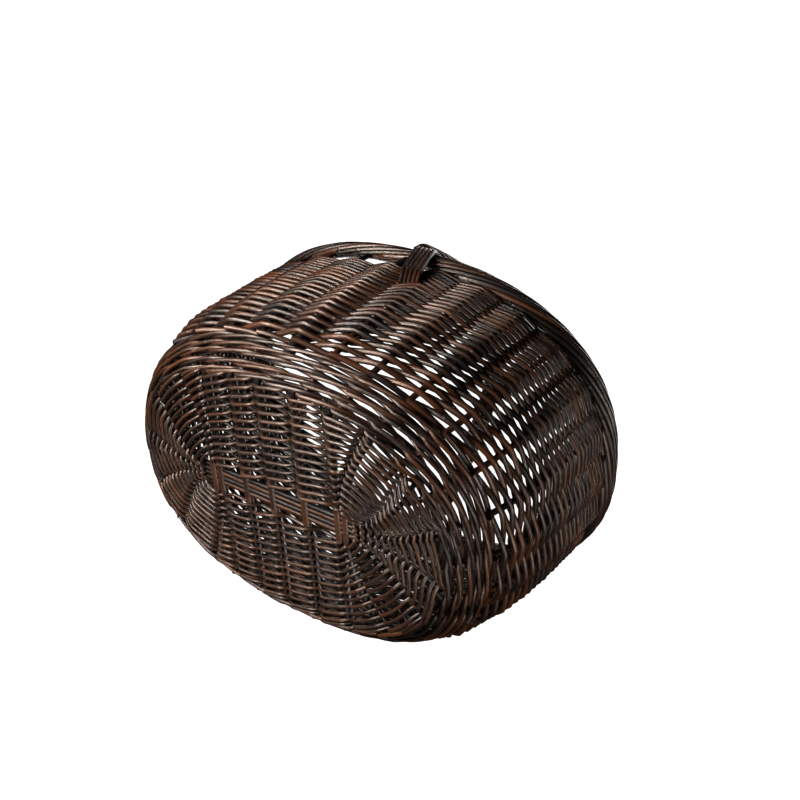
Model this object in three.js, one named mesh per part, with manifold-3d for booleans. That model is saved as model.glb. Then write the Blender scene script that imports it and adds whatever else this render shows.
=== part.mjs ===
// An oval willow shopping basket, in millimetres, +Z up, with its origin under the middle of the base.
// The base is pierced cross sticks on long sticks, bound by a woven plate. Stakes plugged into that plate
// carry the foot wale, the side weave and the border. A roped bow handle joins the middles of the long sides.
import * as THREE from "three";
import { mergeVertices } from "three/addons/utils/BufferGeometryUtils.js";
import Module from "manifold-3d";

// Oval outline and wall profile
const baseHalfLength = 164;
const baseHalfWidth = 113;
const outlinePower = 2.32;
const wallHeight = 213;
const wallFlare = 46;
// Each pair is a share of the flare and the share of the height where it is reached.
const wallShape = [
  [0, 0],
  [0.42, 0.1],
  [0.79, 0.3],
  [0.95, 0.6],
  [1, 1],
];

// Stakes, weave and border
const stakeDiameter = 5.6;
// Places round the rim, an even number, of which the first and the one opposite take the legs of the bow.
const stakePlaces = 28;
const stakeFootDepth = 25;
const weaveThickness = 3.7;
const footStart = 3;
const footWaleHeight = 42;
const footBandCount = 2;
const sideBandCount = 6;
const turnsPerBand = 4;
const rowGap = 0.6;
const openRowHeight = 4;
const borderHeight = 23;
const borderCover = 1.9;
const borderChamfer = 3.7;
const clearance = 0.3;

// Base
const baseCover = 1.9;
const crossStickWidth = 7;
const crossStickWall = 2;
// Shares of the base's half length, with a pair of sticks at the first and the last.
const crossStickShares = [-0.47, -0.256, -0.073, 0.149, 0.39];
const pairGap = 1;
const longStickWidth = 4.4;
const longStickHeight = 4;
const longStickCount = 4;
const windowMargin = 3;
const stickEndGap = 4;
// How far round the oval from its tip the fanned stick ends lie, in degrees.
const longStickFan = 18;
const outerPairFan = 47;
// Slots between the rows of the base weave, on each side of the long sticks.
const baseSlotRows = 6;
const baseSlotPitch = 9;
const baseSlotWidth = 3;
const baseSlotMargin = 2;

// Bow handle, its rope of rods, and the band of rods that ties the rope down over the border
const bowDiameter = 10;
const bowRise = 133.5;
const ropeThickness = 4;
const ropeNeck = 4;
const tieWidth = 18;
const tieThickness = 4;
const tieDrop = 60;
const tieFootReach = 32;

// How finely round things are cut
const rodSides = 6;
const ropeSides = 8;
const bowSteps = 20;
const fanSteps = 4;
const borderSteps = 64;
const rimDivisions = 720;
const plateStepsPerStake = 2;
const weldDistance = 1e-4;

const wasm = await Module();
wasm.setup();

const up = new THREE.Vector3(0, 0, 1);
const along = new THREE.Vector3(1, 0, 0);
const fullTurn = 2 * Math.PI;
// The share of a turn from +X to the middle of the front long side.
const frontTurn = 0.75;
const stakeRadius = stakeDiameter / 2;
const bowRadius = bowDiameter / 2;
const ropeRadius = bowRadius + clearance + ropeThickness;
// The weave slants past stakes that bend, so it has twice the clearance there, and more at the thicker bow.
const stakeRoom = stakeRadius + 2 * clearance;
const bowRoom = bowRadius + 3 * clearance;
const wallHalf = stakeRoom + weaveThickness;
const borderWidth = 2 * (bowRadius + clearance + borderCover);
const crossStickHeight = longStickHeight + 2 * (clearance + crossStickWall);
const pairPitch = crossStickWidth + pairGap;
const crossStickPlaces = crossStickShares.map((share) => share * baseHalfLength);
const baseThickness = crossStickHeight + 2 * (clearance + baseCover);
const baseMiddle = baseThickness / 2;

const materials = {
  stick: new THREE.MeshStandardMaterial({ color: 0x4a2f1e, roughness: 0.55, metalness: 0 }),
  weave: new THREE.MeshStandardMaterial({ color: 0x3b2519, roughness: 0.5, metalness: 0 }),
  stake: new THREE.MeshStandardMaterial({ color: 0x2a1b14, roughness: 0.55, metalness: 0 }),
  border: new THREE.MeshStandardMaterial({ color: 0x40291b, roughness: 0.48, metalness: 0 }),
  handle: new THREE.MeshStandardMaterial({ color: 0x38241a, roughness: 0.48, metalness: 0 }),
};

const basket = new THREE.Group();

function addPiece(name, geometry, material) {
  const mesh = new THREE.Mesh(geometry, material);
  mesh.name = name;
  basket.add(mesh);
  return mesh;
}

// A point of the oval that lies grow outside the base outline.
function outline(angle, grow) {
  const x = Math.cos(angle);
  const y = Math.sin(angle);
  const power = 2 / outlinePower;
  return new THREE.Vector2(
    (baseHalfLength + grow) * Math.sign(x) * Math.abs(x) ** power,
    (baseHalfWidth + grow) * Math.sign(y) * Math.abs(y) ** power,
  );
}

// The oval's outward direction at that point.
function outward(angle, grow) {
  const point = outline(angle, grow);
  const lean = (value, half) => (Math.sign(value) * Math.abs(value / half) ** (outlinePower - 1)) / half;
  return new THREE.Vector2(
    lean(point.x, baseHalfLength + grow),
    lean(point.y, baseHalfWidth + grow),
  ).normalize();
}

// The rim, run round from the middle of the front long side.
class RimCurve extends THREE.Curve {
  getPoint(turn) {
    const point = outline((turn + frontTurn) * fullTurn, wallFlare);
    return new THREE.Vector3(point.x, point.y, wallHeight);
  }
}

const rim = new RimCurve();
rim.arcLengthDivisions = rimDivisions;
const isBowPlace = (place) => place % (stakePlaces / 2) === 0;
const angleAt = (place) => (rim.getUtoTmapping((place / stakePlaces + 1) % 1) + frontTurn) * fullTurn;

// The wall's outer face from the base edge to the rim, and the line of the stakes half a wall inside it.
const wallFace = new THREE.SplineCurve(
  wallShape.map(([out, high]) => new THREE.Vector2(out * wallFlare, high * wallHeight)),
);
const wallLength = wallFace.getLength();

function stakeLine(distance) {
  const point = wallFace.getPointAt(distance / wallLength);
  const tangent = wallFace.getTangentAt(distance / wallLength);
  return point.add(new THREE.Vector2(-tangent.y, tangent.x).multiplyScalar(wallHalf));
}

// The stake line's corners, one at each edge of a band of weave.
const borderBottom = wallHeight - borderHeight;
const footTop = footStart + footWaleHeight;
const sideTop = wallLength - borderHeight - openRowHeight;
const bandEdges = [new THREE.Vector2(stakeLine(footStart).x, baseMiddle)];
for (let band = 1; band <= footBandCount; band++) {
  bandEdges.push(stakeLine(footStart + (footWaleHeight * band) / footBandCount));
}
for (let band = 1; band <= sideBandCount; band++) {
  bandEdges.push(stakeLine(footTop + ((sideTop - footTop) * band) / sideBandCount));
}
const rimLine = wallFlare - wallHalf;
const stakeTop = new THREE.Vector2(rimLine, borderBottom - 2 * clearance);

const stakeCurve = new THREE.CurvePath();
for (let edge = 1; edge < bandEdges.length; edge++) {
  stakeCurve.add(new THREE.LineCurve(bandEdges[edge - 1], bandEdges[edge]));
}

// A distance along the stake line: the point there, and the direction in which the wall faces.
function wallStation(distance) {
  const share = distance / stakeCurve.getLength();
  const climb = stakeCurve.getTangent(share);
  return { point: stakeCurve.getPoint(share), facing: new THREE.Vector2(climb.y, -climb.x) };
}

// The foot wale starts clear of the stakes' lower bend. On it the side weave climbs by one row with each turn
// round the basket.
const edgeDistances = [0, ...stakeCurve.getCurveLengths()];
const waleStart = stakeRadius + clearance;
const sideStart = edgeDistances[footBandCount] + rowGap / 2;
const sideTurns = sideBandCount * turnsPerBand;
const sideRow = (stakeCurve.getLength() - sideStart) / (sideTurns + 1);

// The base weave reaches out to just inside the start of the foot wale.
const footStation = wallStation(waleStart);
const baseEdge = footStation.point.x - footStation.facing.x * wallHalf - clearance;

// The corners lie half a step off the axes, so that a flat faces each of them.
function circle(radius, sides) {
  const points = [];
  for (let side = 0; side < sides; side++) {
    const turn = ((side + 0.5) / sides) * fullTurn;
    points.push([radius * Math.cos(turn), radius * Math.sin(turn)]);
  }
  return points;
}

const rectangle = (width, height) => [
  [-width / 2, -height / 2],
  [width / 2, -height / 2],
  [width / 2, height / 2],
  [-width / 2, height / 2],
];

// A closed skin over rings of points, joined end to end or capped at both ends.
function loft(rings, joined) {
  const count = rings[0].length;
  const points = rings.flat();
  const faces = [];
  const lastRing = joined ? rings.length : rings.length - 1;
  for (let ring = 0; ring < lastRing; ring++) {
    const here = ring * count;
    const next = ((ring + 1) % rings.length) * count;
    for (let corner = 0; corner < count; corner++) {
      const turn = (corner + 1) % count;
      faces.push(here + corner, here + turn, next + turn);
      faces.push(here + corner, next + turn, next + corner);
    }
  }
  for (let corner = 1; corner < count - 1 && !joined; corner++) {
    const last = (rings.length - 1) * count;
    faces.push(0, corner + 1, corner);
    faces.push(last, last + corner, last + corner + 1);
  }
  const geometry = new THREE.BufferGeometry().setFromPoints(points);
  geometry.setIndex(faces);
  return volumeOf(geometry) < 0 ? geometry.setIndex(faces.reverse()) : geometry;
}

function volumeOf(geometry) {
  const position = geometry.getAttribute("position");
  const corners = [0, 1, 2].map(() => new THREE.Vector3());
  let volume = 0;
  for (let index = 0; index < geometry.index.count; index += 3) {
    corners.forEach((corner, k) => corner.fromBufferAttribute(position, geometry.index.getX(index + k)));
    volume += corners[0].dot(corners[1].cross(corners[2])) / 6;
  }
  return volume;
}

// A section carried along a path of straight runs, mitred at the corners. The path bends square to side, and
// the section's points are distances along side and across it.
function sweep(path, side, section) {
  const rings = path.map((point, index) => {
    const before = path[Math.max(index - 1, 0)];
    const after = path[Math.min(index + 1, path.length - 1)];
    const arrive = point.clone().sub(before).normalize();
    const leave = after.clone().sub(point).normalize();
    const tangent = arrive.clone().add(leave).normalize();
    const across = side.clone().cross(tangent).normalize();
    const mitre = 1 / tangent.dot(index ? arrive : leave);
    return section.map(([onSide, onAcross]) =>
      point.clone().addScaledVector(side, onSide).addScaledVector(across, onAcross * mitre),
    );
  });
  return loft(rings, false);
}

function solidOf(geometry) {
  const bare = geometry.clone();
  bare.deleteAttribute("normal");
  bare.deleteAttribute("uv");
  const merged = mergeVertices(bare, weldDistance);
  return new wasm.Manifold(
    new wasm.Mesh({
      numProp: 3,
      vertProperties: merged.getAttribute("position").array,
      triVerts: new Uint32Array(merged.index.array),
    }),
  );
}

function geometryOf(solid) {
  const mesh = solid.getMesh();
  const geometry = new THREE.BufferGeometry();
  geometry.setAttribute("position", new THREE.BufferAttribute(mesh.vertProperties, mesh.numProp));
  geometry.setIndex(new THREE.BufferAttribute(mesh.triVerts, 1));
  return geometry;
}

const cut = (geometry, tools) =>
  geometryOf(tools.reduce((solid, tool) => solid.subtract(solidOf(tool)), solidOf(geometry)));

// A point of the wall: on the oval at a stake line point, then off it in the direction the wall faces.
function wallPoint(angle, linePoint, facing, offset) {
  const point = outline(angle, linePoint.x);
  const out = outward(angle, linePoint.x);
  return new THREE.Vector3(
    point.x + out.x * facing.x * offset,
    point.y + out.y * facing.x * offset,
    linePoint.y + facing.y * offset,
  );
}

// The section of the weave at a place, between two distances along the stake line, outside or inside it.
function weaveSection(place, low, high, outside) {
  const reach = (isBowPlace(place) ? bowRoom : stakeRoom) + weaveThickness / 2;
  const offset = outside ? reach : -reach;
  const bottom = wallStation(low);
  const top = wallStation(high);
  const corners = [
    [bottom, offset - weaveThickness / 2],
    [bottom, offset + weaveThickness / 2],
    [top, offset + weaveThickness / 2],
    [top, offset - weaveThickness / 2],
  ];
  return corners.map(([{ point, facing }, out]) => wallPoint(angleAt(place), point, facing, out));
}

// A band of the foot wale lies level between two corners of the stakes, outside one and inside the next.
function waleBand(index) {
  const low = index ? edgeDistances[index] + rowGap / 2 : waleStart;
  const high = edgeDistances[index + 1] - rowGap / 2;
  const sections = [];
  for (let place = 0; place < stakePlaces; place++) {
    sections.push(weaveSection(place, low, high, (place + index) % 2));
  }
  return loft(sections, true);
}

// A band of the side weave winds up round the stakes, each turn on the other side of them than the one below,
// and stops just short of the start of the next band.
function sideBand(index) {
  const sections = [];
  const first = index * turnsPerBand * stakePlaces;
  const last = first + turnsPerBand * stakePlaces;
  for (let stroke = first; stroke <= last; stroke++) {
    const place = stroke % stakePlaces;
    const turn = Math.floor(stroke / stakePlaces);
    const low = sideStart + (stroke / stakePlaces) * sideRow;
    sections.push(weaveSection(place, low, low + sideRow - rowGap, (place + turn) % 2));
  }
  const [before, end] = sections.slice(-2);
  end.forEach((point, corner) => {
    point.lerp(before[corner], rowGap / point.distanceTo(before[corner]));
  });
  return loft(sections, false);
}

// A stake lies in an upright plane, so its sections turn about the level line across that plane.
function stakePath(place, corners) {
  const angle = angleAt(place);
  return corners.map((corner) => {
    const point = outline(angle, corner.x);
    return new THREE.Vector3(point.x, point.y, corner.y);
  });
}

function stakeSide(place) {
  const angle = angleAt(place);
  const run = outline(angle, wallFlare).sub(outline(angle, 0)).normalize();
  return new THREE.Vector3(-run.y, run.x, 0);
}

const stakeFoot = new THREE.Vector2(baseEdge - stakeFootDepth, baseMiddle);
const stakeCorners = [stakeFoot, ...bandEdges, stakeTop];

function stakeRod(place) {
  return sweep(stakePath(place, stakeCorners), stakeSide(place), circle(stakeRadius, rodSides));
}

// The hole in the base weave that takes a stake's foot runs out past the weave's edge.
function stakeHole(place) {
  const start = new THREE.Vector2(stakeFoot.x - clearance, baseMiddle);
  const path = stakePath(place, [start, bandEdges[0]]);
  return sweep(path, stakeSide(place), circle(stakeRadius + clearance, rodSides));
}

// Base sticks lie level in the middle of the base, so their sections turn about the upright.
const stickEnd = stakeFoot.x - stickEndGap;
const windowHalf = (longStickCount * (longStickWidth + clearance) + clearance) / 2 + windowMargin;

function levelPath(points) {
  return points.map((point) => new THREE.Vector3(point.x, point.y, baseMiddle));
}

// A curve that leaves start along its heading and ends on the oval, at fan degrees round from tip.
function fanCurve(start, heading, tip, fan) {
  const end = outline(tip + THREE.MathUtils.degToRad(fan), stickEnd);
  const reach = end.clone().sub(start).dot(heading) / 2;
  const knee = start.clone().addScaledVector(heading, reach);
  return new THREE.QuadraticBezierCurve(start, knee, end).getPoints(fanSteps);
}

function straightCrossPath(x) {
  const share = Math.abs(x / (baseHalfLength + stickEnd)) ** outlinePower;
  const end = (baseHalfWidth + stickEnd) * (1 - share) ** (1 / outlinePower);
  return [new THREE.Vector2(x, -end), new THREE.Vector2(x, end)];
}

function fannedCrossPath(x) {
  const tip = x > 0 ? 0 : Math.PI;
  const turn = x > 0 ? 1 : -1;
  const halves = [-1, 1].map((way) => {
    const start = new THREE.Vector2(x, way * windowHalf);
    return fanCurve(start, new THREE.Vector2(0, way), tip, way * turn * outerPairFan);
  });
  return [...halves[0].reverse(), ...halves[1]];
}

const firstPlace = crossStickPlaces[0];
const lastPlace = crossStickPlaces[crossStickPlaces.length - 1];
const crossSticks = crossStickPlaces.map((x) => straightCrossPath(x));
crossSticks[0] = straightCrossPath(firstPlace + pairPitch / 2);
crossSticks[crossSticks.length - 1] = straightCrossPath(lastPlace - pairPitch / 2);
crossSticks.unshift(fannedCrossPath(firstPlace - pairPitch / 2));
crossSticks.push(fannedCrossPath(lastPlace + pairPitch / 2));

const windowLeft = firstPlace - (pairPitch + crossStickWidth) / 2 - windowMargin;
const windowRight = lastPlace + (pairPitch + crossStickWidth) / 2 + windowMargin;

function longStickPath(index) {
  const row = index - (longStickCount - 1) / 2;
  const y = row * (longStickWidth + clearance);
  const left = new THREE.Vector2(windowLeft, y);
  const right = new THREE.Vector2(windowRight, y);
  const leftFan = fanCurve(left, new THREE.Vector2(-1, 0), Math.PI, -row * longStickFan);
  const rightFan = fanCurve(right, new THREE.Vector2(1, 0), 0, row * longStickFan);
  return [...leftFan.reverse(), ...rightFan];
}

const longSticks = [];
for (let index = 0; index < longStickCount; index++) {
  longSticks.push(longStickPath(index));
}

function addBase() {
  const slotHeight = longStickHeight + 2 * clearance;
  const slotWidth = 2 * (windowHalf - windowMargin) + clearance;
  const slot = new THREE.BoxGeometry(2 * baseHalfLength, slotWidth, slotHeight);
  slot.translate(0, 0, baseMiddle);
  // Six-sided, with flats above and below that are half as wide as the stick.
  const crossSection = [
    [-crossStickHeight / 2, -crossStickWidth / 4],
    [-crossStickHeight / 2, crossStickWidth / 4],
    [0, crossStickWidth / 2],
    [crossStickHeight / 2, crossStickWidth / 4],
    [crossStickHeight / 2, -crossStickWidth / 4],
    [0, -crossStickWidth / 2],
  ];
  const grown = crossSection.map(([high, wide]) => [
    high + Math.sign(high) * clearance,
    wide + Math.sign(wide) * clearance,
  ]);
  const tunnels = [];
  crossSticks.forEach((points, index) => {
    const rod = sweep(levelPath(points), up, crossSection);
    addPiece(`base_cross_stick_${index + 1}`, cut(rod, [slot]), materials.stick);
    tunnels.push(sweep(lengthened(levelPath(points)), up, grown));
  });
  longSticks.forEach((points, index) => {
    const rod = sweep(levelPath(points), up, rectangle(longStickHeight, longStickWidth));
    addPiece(`base_long_stick_${index + 1}`, rod, materials.stick);
    const room = rectangle(longStickHeight + 2 * clearance, longStickWidth + 2 * clearance);
    tunnels.push(sweep(lengthened(levelPath(points)), up, room));
  });
  for (let place = 0; place < stakePlaces; place++) {
    if (!isBowPlace(place)) {
      tunnels.push(stakeHole(place));
    }
  }
  addPiece("base_weave", cut(basePlate(), [...tunnels, ...baseSlots()]), materials.weave);
}

// The same path, a clearance longer at both ends.
function lengthened(path) {
  const first = path[0].clone().sub(path[1]).normalize();
  const last = path[path.length - 1].clone().sub(path[path.length - 2]).normalize();
  const longer = path.map((point) => point.clone());
  longer[0].addScaledVector(first, clearance);
  longer[path.length - 1].addScaledVector(last, clearance);
  return longer;
}

// A slot through the base weave, between two neighbouring straight cross sticks.
function baseSlot(left, right, y) {
  const length = right - left - crossStickWidth - 2 * (clearance + baseSlotMargin);
  const slot = new THREE.BoxGeometry(length, baseSlotWidth, baseThickness + 2 * clearance);
  return slot.translate((left + right) / 2, y, baseMiddle);
}

function baseSlots() {
  const straight = crossSticks.slice(1, -1).map((points) => points[0].x);
  const slots = [];
  for (let gap = 1; gap < straight.length; gap++) {
    for (let row = 1; row <= baseSlotRows; row++) {
      const y = windowHalf + row * baseSlotPitch;
      slots.push(baseSlot(straight[gap - 1], straight[gap], y));
      slots.push(baseSlot(straight[gap - 1], straight[gap], -y));
    }
  }
  return slots;
}

// The woven plate is open in the middle, where the sticks cross.
function basePlate() {
  const edge = [];
  for (let step = 0; step < stakePlaces * plateStepsPerStake; step++) {
    edge.push(outline(angleAt(step / plateStepsPerStake), baseEdge));
  }
  const plate = new THREE.Shape(edge);
  plate.holes.push(
    new THREE.Path([
      new THREE.Vector2(windowLeft, -windowHalf),
      new THREE.Vector2(windowLeft, windowHalf),
      new THREE.Vector2(windowRight, windowHalf),
      new THREE.Vector2(windowRight, -windowHalf),
    ]),
  );
  return new THREE.ExtrudeGeometry(plate, { depth: baseThickness, bevelEnabled: false });
}

function addWall() {
  for (let index = 0; index < footBandCount; index++) {
    addPiece(`foot_wale_${index + 1}`, waleBand(index), materials.weave);
  }
  for (let index = 0; index < sideBandCount; index++) {
    addPiece(`side_weave_${index + 1}`, sideBand(index), materials.weave);
  }
  let stake = 0;
  for (let place = 0; place < stakePlaces; place++) {
    if (!isBowPlace(place)) {
      stake += 1;
      addPiece(`stake_${String(stake).padStart(2, "0")}`, stakeRod(place), materials.stake);
    }
  }
}

// The border is an eight-sided roll on top of the stakes, with a hole for each leg of the bow.
function addBorder() {
  const middle = wallHeight - borderHeight / 2;
  const halfWidth = borderWidth / 2;
  const halfHeight = borderHeight / 2;
  const flat = halfWidth - borderChamfer;
  const shoulder = halfHeight - borderChamfer;
  const section = [
    [-flat, -halfHeight],
    [flat, -halfHeight],
    [halfWidth, -shoulder],
    [halfWidth, shoulder],
    [flat, halfHeight],
    [-flat, halfHeight],
    [-halfWidth, shoulder],
    [-halfWidth, -shoulder],
  ];
  const level = new THREE.Vector2(1, 0);
  const rings = [];
  for (let step = 0; step < borderSteps; step++) {
    const angle = angleAt((step / borderSteps) * stakePlaces);
    rings.push(
      section.map(([out, high]) => wallPoint(angle, new THREE.Vector2(rimLine, middle + high), level, out)),
    );
  }
  const legHole = circle(bowRadius + clearance, ropeSides);
  const holes = [-1, 1].map((way) => {
    const y = way * (baseHalfWidth + rimLine);
    const path = [
      new THREE.Vector3(0, y, borderBottom - clearance),
      new THREE.Vector3(0, y, wallHeight + clearance),
    ];
    return sweep(path, along, legHole);
  });
  addPiece("border", cut(loft(rings, true), holes), materials.border);
}

// The arch of the handle, leg to leg: a parabola on a short upright neck at each end.
function archPath(start) {
  const half = baseHalfWidth + rimLine;
  const rise = bowRise - ropeNeck;
  const points = [new THREE.Vector3(0, -half, start)];
  for (let step = 0; step <= bowSteps; step++) {
    const share = Math.cos((step / bowSteps) * Math.PI);
    const high = ropeNeck + rise * (1 - share ** 2);
    points.push(new THREE.Vector3(0, -half * share, start + high));
  }
  points.push(new THREE.Vector3(0, half, start));
  return points;
}

function addHandle() {
  const legCorners = [...bandEdges.slice(1), new THREE.Vector2(rimLine, borderBottom)];
  const frontLeg = legCorners.map(
    (corner) => new THREE.Vector3(0, -baseHalfWidth - corner.x, corner.y),
  );
  const backLeg = frontLeg.map((point) => new THREE.Vector3(0, -point.y, point.z)).reverse();
  const arch = archPath(wallHeight + clearance);
  const bow = sweep([...frontLeg, ...arch, ...backLeg], along, circle(bowRadius, ropeSides));
  addPiece("bow_handle", bow, materials.handle);

  const rope = sweep(arch, along, circle(ropeRadius, ropeSides));
  const bore = sweep(lengthened(arch), along, circle(bowRadius + clearance, ropeSides));
  addPiece("handle_rope", cut(rope, [bore]), materials.handle);

  const wallReach = bowRoom + weaveThickness + clearance + tieThickness / 2;
  const borderReach = borderWidth / 2 + clearance + tieThickness / 2;
  const face = baseHalfWidth + rimLine;
  const tieBend = wallHeight - tieWidth / 2;
  const tieFoot = wallHeight - tieDrop;
  const tiePath = [
    new THREE.Vector3(tieFootReach, -face - wallReach, tieFoot),
    new THREE.Vector3(tieFootReach / 2, -face - wallReach, (tieFoot + tieBend) / 2),
    new THREE.Vector3(0, -face - borderReach, tieBend),
    new THREE.Vector3(0, -face - borderReach, wallHeight),
  ];
  const outwards = new THREE.Vector3(0, -1, 0);
  const tie = sweep(tiePath, outwards, rectangle(tieThickness, tieWidth));
  addPiece("rope_tie_front", tie, materials.handle);
  addPiece("rope_tie_back", tie, materials.handle).rotation.z = Math.PI;
}

addBase();
addWall();
addBorder();
addHandle();

export default basket;
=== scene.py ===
"""An oval willow shopping basket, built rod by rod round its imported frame."""
import math

import bpy
from mathutils import Matrix, Vector


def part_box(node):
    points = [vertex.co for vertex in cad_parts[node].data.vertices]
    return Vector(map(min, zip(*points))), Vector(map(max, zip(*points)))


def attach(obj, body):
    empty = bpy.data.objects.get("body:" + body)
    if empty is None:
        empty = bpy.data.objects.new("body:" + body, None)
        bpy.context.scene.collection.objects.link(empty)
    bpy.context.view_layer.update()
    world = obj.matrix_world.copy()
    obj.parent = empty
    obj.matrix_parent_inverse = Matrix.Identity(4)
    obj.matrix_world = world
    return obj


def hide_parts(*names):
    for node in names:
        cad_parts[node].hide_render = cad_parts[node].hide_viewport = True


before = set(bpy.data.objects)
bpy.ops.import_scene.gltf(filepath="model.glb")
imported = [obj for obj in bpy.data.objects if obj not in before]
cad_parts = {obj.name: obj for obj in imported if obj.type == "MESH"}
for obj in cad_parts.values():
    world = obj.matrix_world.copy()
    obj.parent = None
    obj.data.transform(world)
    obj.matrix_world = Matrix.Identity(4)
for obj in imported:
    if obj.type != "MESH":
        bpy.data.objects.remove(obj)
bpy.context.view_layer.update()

bl_info = {
    "name": "Willow Shopping Basket",
    "version": (1, 0, 0),
    "blender": (4, 5, 0),
    "location": "3D View > Sidebar > Basket",
    "description": "Weaves an oval willow basket with a roped bow handle, one rod at a time",
    "category": "Add Mesh",
}

BORDER_LOW, BORDER_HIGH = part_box("border")
PLATE_LOW, PLATE_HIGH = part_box("base_weave")
ROPE_LOW, ROPE_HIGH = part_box("handle_rope")
TIE_LOW, TIE_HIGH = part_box("rope_tie_front")

# The wall: an oval outline that flares from the base to the rim, by shares of its flare and its height.
OUTLINE_POWER = 2.32
WALL_FLARE = 0.046
WALL_HALF = 0.0071
WALL_SHAPE = ((0.0, 0.0), (0.42, 0.1), (0.79, 0.3), (0.95, 0.6), (1.0, 1.0))
BORDER_WIDTH = 0.0144
OPEN_ROW = 0.003
# Each wale band's number and rounds, and where it starts and ends up the wall's face.
WALE_BANDS = ((1, 2, 0.0015, 0.0185), (2, 3, 0.0205, 0.043))
WALE_FIRST_PLACE = 9.0
# Where the side weave starts up the wall's face, and how many CAD bands it stands in for.
SIDE_START = 0.0455
SIDE_BANDS = 6
# About how far apart the stakes stand along the rim.
STAKE_SPACING = 0.0427
# Where the weave stops short of the border, in stake places before the front leg of the bow.
BARE_PLACE = 1.3
RIM_LINE = WALL_FLARE - WALL_HALF
BASE_HALF_LENGTH = BORDER_HIGH.x - RIM_LINE - BORDER_WIDTH / 2
BASE_HALF_WIDTH = BORDER_HIGH.y - RIM_LINE - BORDER_WIDTH / 2
WALL_HEIGHT = BORDER_HIGH.z
BORDER_HEIGHT = BORDER_HIGH.z - BORDER_LOW.z
BASE_MIDDLE = (PLATE_LOW.z + PLATE_HIGH.z) / 2

# The base: cross sticks, and long sticks through the middle of them, in a window free of weave.
CROSS_STICKS = 7
LONG_STICKS = 4
CROSS_STICK_WIDTH = 0.007
LONG_STICK_PITCH = 0.0047
WINDOW_HALF_WIDTH = 0.0126
WINDOW_END = 0.0065
# How far past the base outline the sticks and the weave reach.
STICK_EDGE = 0.0018
WEAVE_EDGE = -0.002
LONG_STICK_FAN = math.radians(23)
OUTER_PAIR_FAN = math.radians(55)

# The handle: an arch of rods round a bow, across the short axis.
ARCH_NECK = 0.004
BOW_RADIUS = 0.005
ROPE_RADIUS = 0.0093
LEG_LOW = 0.02
TIE_FOOT_INSET = 0.008
ARCH_HALF = ROPE_HIGH.y - ROPE_RADIUS
ARCH_RISE = ROPE_HIGH.z - ROPE_RADIUS - ROPE_LOW.z - ARCH_NECK

# The camera, from the photograph's viewing angle.
CAMERA_PLACE = Vector((0.52271, -0.49642, -0.50233))
CAMERA_AIM = Vector((0.05884, -0.07243, 0.09681))
CAMERA_UP = Vector((-0.2612, -0.8717, 0.41463))
CAMERA_LENS = 46.54
CAMERA_SENSOR = 36.0
VIEW_EXPOSURE = 0.3
VIEW_GAMMA = 0.85

# The stage: a floor that fades out with distance, and lights by their name, the setting that holds
# their power, their direction from the basket, their distance and their size.
FLOOR_HALF = 4.0
FLOOR_CLOUD = (0.9, 0.9, 0.9, 1.0)
FADE_START = 0.4
FADE_WIDTH = 0.8
WHITE = (1.0, 1.0, 1.0, 1.0)
LIGHTS = (
    ("key_light", "key", (-0.42, -0.6, -0.68), 0.8, 0.35),
    ("near_fill", "near", (0.8, 0.3, -0.5), 1.5, 0.6),
    ("top_light", "top", (-0.1, 0.2, 1.0), 1.6, 1.4),
    ("back_fill", "back", (-0.7, 0.7, 0.35), 1.5, 1.0),
)


def oval(angle, grow=0.0):
    """A point of the oval that lies grow outside the base outline."""
    power = 2 / OUTLINE_POWER
    x, y = math.cos(angle), math.sin(angle)
    return Vector((
        (BASE_HALF_LENGTH + grow) * math.copysign(abs(x) ** power, x),
        (BASE_HALF_WIDTH + grow) * math.copysign(abs(y) ** power, y),
        0.0,
    ))


def rim_line(steps=720):
    """The rim's outline from the middle of the front long side, towards +X."""
    return [oval(math.tau * (step / steps - 0.25), WALL_FLARE) for step in range(steps)]


def wall_line(steps=24):
    """The wall's outer face from the base edge to the rim, as x out and z up."""
    knots = [Vector((out * WALL_FLARE, 0.0, up * WALL_HEIGHT)) for out, up in WALL_SHAPE]
    line = []
    for index in range(len(knots) - 1):
        before = knots[max(index - 1, 0)]
        here, there = knots[index], knots[index + 1]
        after = knots[min(index + 2, len(knots) - 1)]
        leave, arrive = (there - before) / 2, (after - here) / 2
        for step in range(steps):
            t = step / steps
            line.append(
                here * (2 * t**3 - 3 * t**2 + 1)
                + leave * (t**3 - 2 * t**2 + t)
                + there * (3 * t**2 - 2 * t**3)
                + arrive * (t**3 - t**2)
            )
    return line + [knots[-1]]


def line_length(line):
    """The length of a line of points."""
    return sum((b - a).length for a, b in zip(line, line[1:]))


WALL_LENGTH = line_length(wall_line())
# The stakes end inside the border, and the side weave ends below the open row under it.
STAKE_TOP = WALL_LENGTH - BORDER_HEIGHT * 0.75
SIDE_TOP = WALL_LENGTH - BORDER_HEIGHT - OPEN_ROW


def bend(start, heading, end, steps=12):
    """A curve that leaves start along heading and comes to end."""
    knee = start + heading * ((end - start).dot(heading) / 2)
    shares = [step / steps for step in range(steps + 1)]
    return [start * (1 - t) ** 2 + knee * (2 * t * (1 - t)) + end * t**2 for t in shares]


def stick_place(index):
    """How far along the base a cross stick stands where it crosses the long sticks."""
    low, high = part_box(f"base_cross_stick_{index + 1}")
    if index == 0:
        return high.x - CROSS_STICK_WIDTH / 2
    if index == CROSS_STICKS - 1:
        return low.x + CROSS_STICK_WIDTH / 2
    return (low.x + high.x) / 2


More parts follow.
